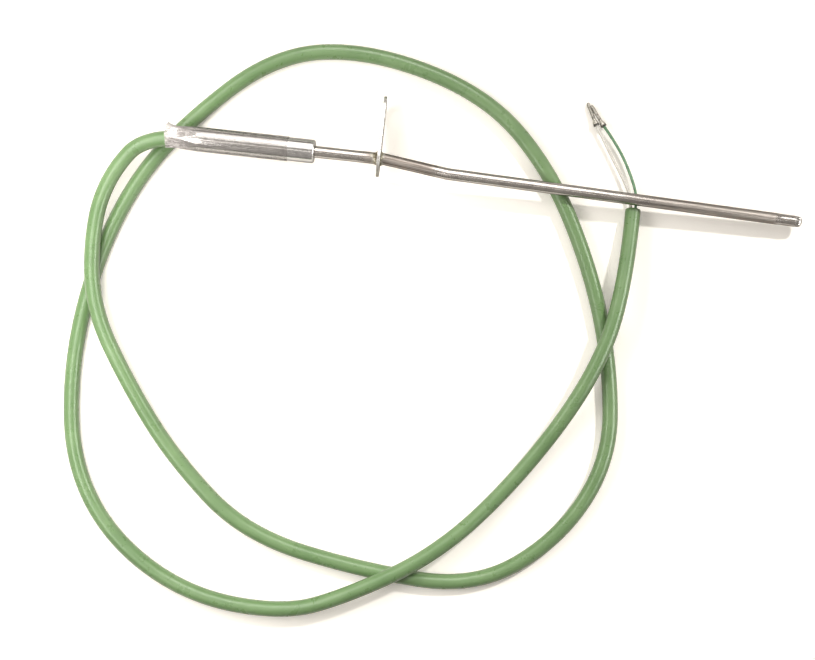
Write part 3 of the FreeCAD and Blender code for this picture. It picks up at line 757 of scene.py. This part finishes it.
outside, inside = [], []
for centre, along in sheath_axis:
    reach = sheath_radius(centre)
    wobble = noise.noise(centre / MM * 0.07) * WOBBLE
    tip_share = (SHEATH / 2 - reach) / SWAGE_DEPTH

    def oval(angle, reach=reach, wobble=wobble, centre=centre, tip_share=tip_share):
        """Nearly round: drawn tube is never quite true."""
        side = Vector((math.cos(angle), math.sin(angle), 0)) * 0.8
        marks = TOOL_MARKS * tip_share * math.cos(RIBS * angle)
        return reach + marks + wobble + noise.noise(side + centre / MM * 0.12) * OUT_OF_ROUND

    outside.append(ring(centre, along, oval, 64))
    inside.append(ring(centre, along, SHEATH_BORE / 2, 64))
sheath = skin("sheath", outside + inside[::-1], drawn_steel, loop=True)
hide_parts("probe_sheath")

# %% [markdown]
# ## The tip
#
# The end of the sheath is closed by a plug and gripped by a fluting tool, which leaves ribs all
# round and a rounded end. One rib is modelled, and Geometry Nodes sets copies of it round the
# plug, because one tool made them all alike.

# %% The tip's core
TIP_PROFILE = (
    (-1.2, 0),
    (-1.2, 1.37),
    (0.0, 1.37),
    (0.0, 1.62),
    (0.2, 1.62),
    (0.9, 1.62),
    (1.6, 1.58),
    (2.0, 1.42),
    (2.25, 1.15),
    (2.36, 0.75),
    (2.4, 0.35),
    (2.4, 0),
)
print("tip:", len(TIP_PROFILE), "points on its outline")

# %% One rib
def rib_mesh():
    """A low rounded rib along +X, from the swaged tube's end over the tip's rounding."""
    build = bmesh.new()
    stations = ((0.04, 1.80), (0.3, 1.84), (1.1, 1.83), (1.6, 1.76), (2.0, 1.58), (2.28, 1.24))
    half_width, rounding, depth = 0.42, 0.34, 0.55

    def vertex(x, lean, height):
        return build.verts.new((x * MM, lean * half_width * MM, height * MM))

    leans = [(number - 4) / 4 for number in range(9)]
    rows = [[vertex(x, lean, r - rounding * lean * lean) for lean in leans] for x, r in stations]
    floor_rows = [[vertex(x, side, reach - depth) for side in (-1, 1)] for x, reach in stations]
    for first, second in zip(rows, rows[1:]):
        for step in range(8):
            build.faces.new((first[step], first[step + 1], second[step + 1], second[step]))
    for (low_a, low_b), a, b in zip(zip(floor_rows, floor_rows[1:]), rows, rows[1:]):
        build.faces.new((low_a[0], a[0], b[0], low_b[0]))
        build.faces.new((a[-1], low_a[1], low_b[1], b[-1]))
        build.faces.new((low_a[0], low_b[0], low_b[1], low_a[1]))
    build.faces.new([floor_rows[0][1]] + rows[0][::-1] + [floor_rows[0][0]])
    build.faces.new([floor_rows[-1][0]] + rows[-1] + [floor_rows[-1][1]])
    bmesh.ops.recalc_face_normals(build, faces=build.faces)
    return mesh_from("rib", build)


rib = rib_mesh()
print("one rib:", len(rib.polygons), "faces")

# %% [markdown]
# The node tree turns one input mesh into many: it makes a point on the axis for each rib, puts
# an instance of the mesh on it and turns it by its share of a full turn. The result is made
# real and given the tip's material.

# %% Ribs by Geometry Nodes
def repeat_round_tree(material):
    """Geometry Nodes that repeat their input about X. The input Count is how many."""
    tree = bpy.data.node_groups.new("repeat_round", "GeometryNodeTree")
    tree.interface.new_socket("Geometry", in_out="INPUT", socket_type="NodeSocketGeometry")
    count = tree.interface.new_socket("Count", in_out="INPUT", socket_type="NodeSocketInt")
    tree.interface.new_socket("Geometry", in_out="OUTPUT", socket_type="NodeSocketGeometry")
    given = tree.nodes.new("NodeGroupInput").outputs
    share = combine(tree, "DIVIDE", made(tree, "GeometryNodeInputIndex"), given["Count"])
    angle = times(tree, share, 2 * math.pi)
    copies = made(
        tree,
        "GeometryNodeInstanceOnPoints",
        Points=made(tree, "GeometryNodePoints", Count=given["Count"]),
        Instance=given["Geometry"],
        Rotation=made(tree, "ShaderNodeCombineXYZ", X=angle),
    )
    real = made(tree, "GeometryNodeRealizeInstances", Geometry=copies)
    painted = made(tree, "GeometryNodeSetMaterial", Geometry=real, Material=material)
    feed(tree.nodes.new("NodeGroupOutput"), Geometry=painted)
    return tree, count.identifier


def repeat_round(mesh, count, material):
    """The mesh repeated about X, as a plain mesh."""
    tree, count_socket = repeat_round_tree(material)
    holder = shown("repeated", mesh)
    modifier = holder.modifiers.new("repeat", "NODES")
    modifier.node_group = tree
    modifier[count_socket] = count
    ready = holder.evaluated_get(bpy.context.evaluated_depsgraph_get())
    result = bpy.data.meshes.new_from_object(ready)
    holder.modifiers.remove(modifier)
    bpy.data.objects.remove(holder)
    bpy.data.node_groups.remove(tree)
    return result


ribs = repeat_round(rib, RIBS, tip_steel)
tip_turn = Matrix((PROBE_WAY, UP.cross(PROBE_WAY).normalized(), UP)).transposed()
ribs.transform(Matrix.Translation(tip_base) @ tip_turn.to_4x4())
build = bmesh.new()
add_rings(build, turned(TIP_PROFILE, tip_base, PROBE_WAY, 72))
build.from_mesh(ribs)
tip = finished("tip", build, tip_steel, 38)
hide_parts("sheath_tip")

# %% [markdown]
# ## The tab
#
# A strip punched from sheet steel with round ends. A real edge is never a knife edge: it
# catches a thin line of light. A filled 2-D curve with a small bevel gives exactly that, with
# the two holes as splines of their own.

# %% The tab
TAB_WIDTH = 12.4
SCREW_HOLE = 4.2
EDGE = 0.13
QUARTER_ARC = 0.5523
half_thickness = (tab_high.x - tab_low.x) / 2
screw = Vector(mount("screw_hole")["pos_m"])
arm = Vector((0, screw.y - seat.y, screw.z - seat.z))
spacing = arm.length
arm.normalize()


def outline(curve, knots, radius):
    """A closed outline of quarter arcs in a 2-D curve, in metres.

    Each knot is the arc's centre along X and the way out from it. Two knots in a row with the
    same way out are joined by a straight side.
    """
    spline = curve.splines.new("BEZIER")
    spline.bezier_points.add(len(knots) - 1)
    for number, (centre, (x, y)) in enumerate(knots):
        before, after = knots[number - 1][1], knots[(number + 1) % len(knots)][1]
        spot = Vector((centre + x * radius, y * radius, 0))
        bow = Vector((-y, x, 0)) * (radius * QUARTER_ARC)
        knot = spline.bezier_points[number]
        knot.co = spot
        knot.handle_left = spot if before == (x, y) else spot - bow
        knot.handle_right = spot if after == (x, y) else spot + bow
    spline.use_cyclic_u = True
    spline.resolution_u = 24


strip = [(0, (0, -1)), (spacing, (0, -1)), (spacing, (1, 0))]
strip += [(spacing, (0, 1)), (0, (0, 1)), (0, (-1, 0))]
QUARTERS = ((1, 0), (0, 1), (-1, 0), (0, -1))
tab_curve = bpy.data.curves.new("tab_outline", "CURVE")
tab_curve.dimensions = "2D"
tab_curve.fill_mode = "BOTH"
tab_curve.extrude = half_thickness - EDGE * MM
tab_curve.bevel_depth = EDGE * MM
tab_curve.bevel_resolution = 3
tab_curve.offset = -EDGE * MM
outline(tab_curve, strip, TAB_WIDTH / 2 * MM)
outline(tab_curve, [(0, way) for way in QUARTERS], (SHEATH / 2 + 0.10) * MM)
outline(tab_curve, [(spacing, way) for way in QUARTERS], SCREW_HOLE / 2 * MM)
tab_mesh = mesh_of(tab_curve)
tab_turn = Matrix((arm, ALONG.cross(arm), ALONG)).transposed().to_4x4()
tab_mesh.transform(Matrix.Translation(seat - ALONG * half_thickness) @ tab_turn)
build = bmesh.new()
build.from_mesh(tab_mesh)
bmesh.ops.remove_doubles(build, verts=build.verts, dist=1e-6)
bmesh.ops.recalc_face_normals(build, faces=build.faces)
print("tab's open edges:", sum(len(edge.link_faces) != 2 for edge in build.edges))
tab = finished("tab", build, strip_steel, 40)
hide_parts("mounting_flange")

# %% [markdown]
# ## The braze
#
# Brazing metal runs into the corner between tab and sheath and freezes in a hollow curve. It is
# never even: it is longer where the torch was, here on top at the cable's side and underneath at
# the tip's side, and its skin is blistered and browned by flux.

# %% Braze material
bronze, tree, shader = new_material("burnt_braze")
blotches = grain(tree, 900, 5.0, 0.65)
BURNT = (
    (0.32, (0.06, 0.050, 0.028)),
    (0.46, (0.17, 0.15, 0.095)),
    (0.58, (0.36, 0.33, 0.25)),
    (0.70, (0.68, 0.64, 0.55)),
)
thick = combine(tree, "ADD", off_axis(tree), times(tree, blotches, 0.5))
thick = spread(tree, thick, SHEATH / 2 + 0.20, SHEATH / 2 + 0.40, 0.0, 1.0)
feed(
    shader,
    Base_Color=blend(tree, thick, (0.50, 0.48, 0.44), shades(tree, blotches, *BURNT)),
    Roughness=spread(tree, blotches, 0.3, 0.7, 0.55, 0.25),
    Normal=relief(tree, blotches, 0.00025, 0.6),
    Metallic=0.85,
)
print("braze material:", bronze.name)

# %% The braze
PLATE = 1.0
STEPS = 9


def braze_size(angle, face):
    """How far the braze runs along the sheath and up the plate, in millimetres."""
    top = (1 + math.cos(angle)) / 2
    spot = Vector((math.cos(angle) * 1.7, math.sin(angle) * 1.7, face * 5.0))
    lumps = noise.noise(spot) + 0.45 * noise.noise(spot * 2.6)
    if face < 0:
        reach, climb = 1.3 + 1.1 * top**1.5 + 1.7 * lumps, 0.8 + 0.7 * top**1.3 + 0.45 * lumps
    else:
        reach, climb = 1.1 + 0.8 * (1 - top) + 1.4 * lumps, 0.65 + 0.45 * (1 - top) + 0.35 * lumps
    return max(reach, 0.35), max(climb, 0.25)


def braze_rings():
    """Rings of one closed loop: rear fillet, through the plate, front fillet, back inside."""
    inner = SHEATH / 2 + 0.02
    bore = SHEATH / 2 + 0.07
    shares = [step / STEPS for step in range(STEPS + 1)]
    rings = []
    for face, plate_face in ((-1, -PLATE), (1, 0.0)):
        for share in shares if face < 0 else reversed(shares):
            points = []
            for angle in angles_round(96):
                reach, climb = braze_size(angle, face)
                station = plate_face + face * reach * (1 - share) ** 1.8
                points.append(on_probe(station, angle, inner + climb * share**2.2))
            rings.append(points)
        if face < 0:
            rings += [ring(at(station, 0, 0), ALONG, bore, 96) for station in (-PLATE, 0.0)]
    return rings


braze = skin("braze", braze_rings(), bronze, loop=True, crease=60)
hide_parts("flange_braze")

# %% [markdown]
# ## The ferrule
#
# A bright steel tube. Its front edge is rolled over a shoulder round the sheath. At the cable's
# end a six-sided die has squeezed it, which leaves six flats that run out in sloping facets. A
# smooth minimum between the round tube and the die's flats gives the soft edges that pressed
# metal has.

# %% The ferrule's outside
FERRULE = 8.0
FERRULE_BORE = 7.0
FLATS = 6.7
CRIMP = 8.0
GRIP = 3.2
RUN_OUT = 8.2
SQUEEZE = 0.15
DIE_TURN = math.radians(13)
SHOULDER = 0.8
AROUND = 120


def soft_least(first, second, softness):
    """The lesser of two lengths, rounded where they cross."""
    share = max(0.0, min(1.0, 0.5 + 0.5 * (second - first) / softness))
    return second * (1 - share) + first * share - softness * share * (1 - share)


def die_reach(station, angle):
    """The distance to the die's flat. An edge between two flats lies a little off the top."""
    into = (station - FERRULE_REAR - GRIP) / RUN_OUT
    flats = FLATS + (FERRULE + 0.2 - FLATS) * max(0.0, into)
    if into > 1:
        flats = 2 * FERRULE
    sixth = math.pi / 3
    lean = ((angle + DIE_TURN) % sixth) - sixth / 2
    return flats / 2 / math.cos(lean)


def ferrule_radius(station, angle):
    """The ferrule's outer radius, in millimetres."""
    squeezed = max(0.0, min(1.0, (FERRULE_REAR + GRIP + RUN_OUT - station) / RUN_OUT))
    radius = soft_least(FERRULE / 2 - SQUEEZE * squeezed, die_reach(station, angle), 0.05)
    from_front = FERRULE_FRONT - station
    if from_front < SHOULDER:
        drop = SHOULDER - from_front
        radius -= SHOULDER - math.sqrt(max(SHOULDER**2 - drop**2, 0.0))
    return radius


def stations_between(first, last, step):
    count = max(1, math.ceil((last - first) / step))
    return [first + (last - first) * number / count for number in range(count + 1)]


places = stations_between(FERRULE_REAR, FERRULE_REAR + GRIP + RUN_OUT + 0.6, 0.2)
places += stations_between(places[-1] + 0.6, FERRULE_FRONT - SHOULDER, 0.6)
places += [FERRULE_FRONT - SHOULDER * (1 - math.sin(math.radians(a))) for a in range(10, 91, 10)]
rings = [
    [on_probe(station, angle, ferrule_radius(station, angle)) for angle in angles_round(AROUND)]
    for station in places
]
# From the front: the hole for the sheath, the end wall, the wide bore and the crimped end.
BORE = (
    (FERRULE_FRONT, 2.15),
    (FERRULE_FRONT - 0.1, 2.05),
    (FERRULE_FRONT - 1.0, 2.05),
    (FERRULE_FRONT - 1.0, FERRULE_BORE / 2),
    (FERRULE_REAR + CRIMP + 2.5, FERRULE_BORE / 2),
    (FERRULE_REAR + CRIMP, 2.68),
    (FERRULE_REAR + 0.1, 2.68),
    (FERRULE_REAR, 2.75),
)
rings += turned(BORE, seat, ALONG, AROUND)
ferrule = skin("ferrule", rings, turned_steel, loop=True, crease=30)
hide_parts("transition_ferrule")

# %% [markdown]
# ## The film
#
# Clear heat-shrink film over the crimp and most of the ferrule. It is smooth where the tube is
# round. Over the crimp it stands a little off the flats and crumples, and past the ferrule's
# end it leaves the cable in a ragged lip that rises to a point on the far side. Ridged noise
# makes the folds, and plain noise the slight ripples elsewhere.

# %% Film material
film_clear, tree, haze = new_material("clear_film")
ripple = grain(tree, (350, 900, 900), 4.0, 0.6, 0.6)
feed(
    haze,
    Base_Color=shades(tree, ripple, (0.3, (0.66, 0.61, 0.59)), (0.7, (0.86, 0.81, 0.79))),
    Roughness=0.35,
    Normal=relief(tree, ripple, 0.00014, 0.6),
)
edge_on = made(tree, "ShaderNodeLayerWeight", "Facing", Blend=0.5)
edge_on = combine(tree, "POWER", edge_on, 3.0)
tint = blend(tree, edge_on, (0.93, 0.925, 0.92), (0.36, 0.345, 0.33))
clear = made(tree, "ShaderNodeBsdfTransparent", Color=tint)
gloss = made(
    tree,
    "ShaderNodeBsdfGlossy",
    Roughness=spread(tree, ripple, 0.3, 0.7, 0.07, 0.16),
    Normal=relief(tree, ripple, 0.00012, 0.5),
)
shine = combine(tree, "ADD", times(tree, edge_on, 0.20), 0.045)
cloudy = along_probe(
    tree, (FILM_REAR, 0.42), (-69.8, 0.34), (-66.0, 0.20), (-62.5, 0.06), (FILM_FRONT, 0.04)
)
cloudy = times(tree, cloudy, spread(tree, ripple, 0.38, 0.62, 0.35, 1.55))
bare, whole = (tree.nodes.new("ShaderNodeMixShader") for _ in range(2))
fill(bare.inputs, (shine, clear, gloss))
fill(whole.inputs, (cloudy, bare.outputs[0], haze.outputs["BSDF"]))
feed(tree.nodes["Material Output"], Surface=whole.outputs[0])
print("film material:", len(tree.nodes), "nodes")

# %% The film
FILM_WALL = 0.15
CRUMPLED = 4.8
LIP = 2.6
FILM_AROUND = 180
FAR_SIDE = math.radians(80)


def film_radius(station, angle):
    """The film's inner radius: it lies on the ferrule and crumples towards the cable."""
    on_metal = min(max(station, FERRULE_REAR), FERRULE_FRONT - 2)
    base = ferrule_radius(on_metal, angle) + 0.04
    near_end = max(0.0, 1 - (station - FILM_REAR) / CRUMPLED)
    spot = Vector((math.cos(angle) * 2.3, math.sin(angle) * 2.3, station * 0.8))
    folds = 1 - abs(noise.noise(spot)) * 3.4
    fine = noise.noise(spot * 2.7 + Vector((7.0, 3.0, 1.0)))
    lift = near_end**0.8 * (0.06 + 0.34 * max(0.0, folds) + 0.12 * fine)
    over_crimp = max(0.0, 1 - abs(station - FERRULE_REAR - 6.0) / 7.0)
    lift += 0.05 * over_crimp * (1 + noise.noise(spot * 0.7 + Vector((0, 5.0, 0))))
    lift += 0.012 * (1 + noise.noise(spot * 1.3))
    lip = max(0.0, 1 - (station - FILM_REAR) / LIP)
    far_side = max(0.0, math.cos(angle - FAR_SIDE))
    lift += lip * (0.06 + 0.42 * far_side**3 + 0.45 * lip * far_side**14)
    return base + max(lift, 0.0)


def film_station(station, angle):
    """The rear edge is torn: it wanders by some tenths of a millimetre."""
    lip = max(0.0, 1 - (station - FILM_REAR) / 3.0)
    front = max(0.0, 1 - (FILM_FRONT - station) / 2.0)
    ragged = noise.noise(Vector((math.cos(angle) * 2.6, math.sin(angle) * 2.6, 9.0)))
    return station + lip * 0.45 * (ragged + 0.6) + front * 0.25 * (ragged - 0.5)


places = stations_between(FILM_REAR, FILM_REAR + 7, 0.08)
places += stations_between(places[-1] + 0.15, FILM_REAR + 13, 0.15)
places += stations_between(places[-1] + 0.5, FILM_FRONT, 0.5)
outer_rings, inner_rings = [], []
for station in places:
    outer, inner = [], []
    for angle in angles_round(FILM_AROUND):
        reach = film_radius(station, angle)
        place = film_station(station, angle)
        outer.append(on_probe(place, angle, reach + FILM_WALL))
        inner.append(on_probe(place, angle, reach))
    outer_rings.append(outer)
    inner_rings.append(inner)
film = skin("film", outer_rings + inner_rings[::-1], film_clear, loop=True, crease=70)
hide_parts("shrink_film")

# %% [markdown]
# ## The two cores
#
# Beyond the jacket the cores bend away under the probe and end in crimped ferrules. Each has its
# own spline, which starts a little way inside the jacket. The green core is satin PVC, the white
# one slightly warm and yellowed.

# %% Core materials
def satin(name, dark, pale, roughness):
    """Plain insulation with a slight mottling."""
    material, tree, shader = new_material(name)
    clouds = grain(tree, 500)
    feed(
        shader,
        Base_Color=shades(tree, clouds, (0.3, dark), (0.7, pale)),
        Roughness=spread(tree, clouds, 0.3, 0.7, roughness, roughness + 0.12),
        Normal=relief(tree, clouds, 0.00003, 0.3),
    )
    return material


green_core = satin("green_core", (0.10, 0.21, 0.11), (0.16, 0.29, 0.17), 0.30)
white_core = satin("white_core", (0.60, 0.56, 0.51), (0.72, 0.69, 0.64), 0.38)
print("core materials:", green_core.name, white_core.name)

# %% Lead routes
CORE = 1.0
LEADS = {
    "positive": (
        (162.8, -18.0, -5.1), (162.8, -7.4, -7.0), (162.7, -2.0, -7.2), (160.4, 4.0, -7.6),
        (156.3, 11.6, -7.9), (151.6, 17.6, -7.7), (149.0, 20.5, -7.6), (147.9, 22.0, -7.8),
    ),
    "negative": (
        (161.2, -18.0, -5.1), (161.2, -7.4, -7.0), (160.9, -3.2, -7.2), (158.2, 2.2, -7.7),
        (153.2, 9.8, -8.1), (148.4, 17.4, -7.8), (146.4, 20.6, -7.7), (145.6, 22.2, -7.9),
    ),
}
print("leads:", {name: len(points) for name, points in LEADS.items()}, "points")

# %% [markdown]
# ## The end ferrules
#
# Thin tin-plated tubes with a flared mouth that takes the insulation. Crimping has squared each
# one slightly and left small ridges across it. The plating is bright on the flare and a little
# tarnished along the barrel; painted shade darkens the mouth, where the crimp begins, the end and
# the bore.

# %% End ferrule material
# How dark it is along the UV map's X: painted shade in the mouth, where the crimp begins, at the
# end and in the bore, and a little tarnish along the barrel. A position of 1 is a centimetre from
# the mouth.
TARNISH_AND_PAINTED_SHADE = ((0.0, 1.0), (0.055, 0.9), (0.08, 0.0), (0.24, 0.0), (0.30, 0.7), (0.36, 0.2))
TARNISH_AND_PAINTED_SHADE += ((0.9, 0.3), (1.0, 0.9))
tin, tree, shader = new_material("tin_plate")
scuffs = grain(tree, 1800)
plate = shades(tree, scuffs, (0.3, (0.32, 0.30, 0.265)), (0.7, (0.62, 0.59, 0.53)))
tarnish_and_painted_shade = shades(tree, times(tree, axes(tree, "UV")["X"], 0.1), *TARNISH_AND_PAINTED_SHADE)
feed(
    shader,
    Base_Color=blend(tree, tarnish_and_painted_shade, plate, (0.10, 0.095, 0.085)),
    Roughness=spread(tree, scuffs, 0.3, 0.7, 0.22, 0.42),
    Normal=relief(tree, scuffs, 0.00006, 0.5),
    Metallic=1.0,
)
print("end ferrule material:", tin.name)

# %% The leads and their ferrules
MOUTH_OVER_CORE = 1.9
BARREL_START = 2.3
BARREL_RADIUS = 0.57
RIDGE_HEIGHT = 0.05


def end_ferrule(name, opening, along):
    """A flared, crimped tube on a core's end, as rings of one closed wall."""
    flare = ((0.0, 1.02), (0.12, 1.06), (1.3, 0.92), (1.9, 0.70), (2.2, 0.62))
    end = ((8.55, 0.50), (8.6, 0.42), (8.6, 0.28))
    bore = ((BARREL_START, 0.28), (1.7, 0.53), (0.1, 0.80), (0.0, 0.92))
    rings = turned(flare, opening, along, 40)
    for step in range(25):
        station = BARREL_START + step * 0.25
        ridge = RIDGE_HEIGHT * math.cos(step * math.pi * 0.8)

        def squared(angle, ridge=ridge):
            return BARREL_RADIUS + 0.03 * math.cos(4 * angle) + ridge * 0.6

        rings.append(ring(opening + along * station * MM, along, squared, 40))
    rings += turned(end + bore, opening, along, 40)
    thing = skin(name, rings, tin, loop=True, crease=50)
    return thing


for polarity, material in (("positive", green_core), ("negative", white_core)):
    points = [mouth + Vector(point) * MM for point in LEADS[polarity]]
    lead = spline_curve(f"{polarity}_lead", points, CORE, material)
    line = spline_line(lead)
    along = (points[-1] - points[-2]).normalized()
    opening = points[-1] - along * MOUTH_OVER_CORE * MM
    end = end_ferrule(f"{polarity}_crimped_end", opening, along)
    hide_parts(f"{polarity}_core", f"{polarity}_conductor")
    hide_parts(f"{polarity}_end_ferrule")
    print(f"{polarity} lead: {line_length(line) / MM:.0f} mm")

# %% [markdown]
# ## What is sealed inside
#
# The pieces inside the sheath and ferrule keep their solids, because their shapes are right as
# they are and nothing shows them. They still get the right materials, for anyone who opens or
# cuts the model: white pressed powder, bright alloy wires, amber sleeves and black resin.

# %% Inner materials
powder = satin("pressed_powder", (0.78, 0.77, 0.74), (0.88, 0.87, 0.85), 0.75)
resin = satin("black_resin", (0.02, 0.02, 0.02), (0.05, 0.05, 0.05), 0.30)
seal_resin = satin("brown_resin", (0.20, 0.10, 0.04), (0.32, 0.17, 0.08), 0.35)
amber = satin("amber_sleeve", (0.55, 0.40, 0.16), (0.72, 0.55, 0.26), 0.35)
alloy = steel("alloy_wire", (0.55, 0.52, 0.47), 0.25, (200, 2500, 2500), 0.004)
INNER = {
    "mineral_insulation": powder,
    "positive_thermowire": alloy,
    "negative_thermowire": alloy,
    "hot_junction": alloy,
    "sheath_seal": seal_resin,
    "positive_splice": tin,
    "negative_splice": tin,
    "positive_splice_sleeve": amber,
    "negative_splice_sleeve": amber,
    "potting": resin,
}
for node, material in INNER.items():
    for place in frame["nodes"][node].material_slots:
        place.material = material
print(len(INNER), "inner nodes dressed")

# %% [markdown]
# ## Sizes
#
# The boxes of the solid model and of the dressed one are printed. The dressed model must not
# outgrow the solid one.

# %% Finish
dressed_box = [list(corner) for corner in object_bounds()]
for name, corners in (("solid", cad_box), ("dressed", dressed_box)):
    print(name, [[round(value / MM, 2) for value in corner] for corner in corners])
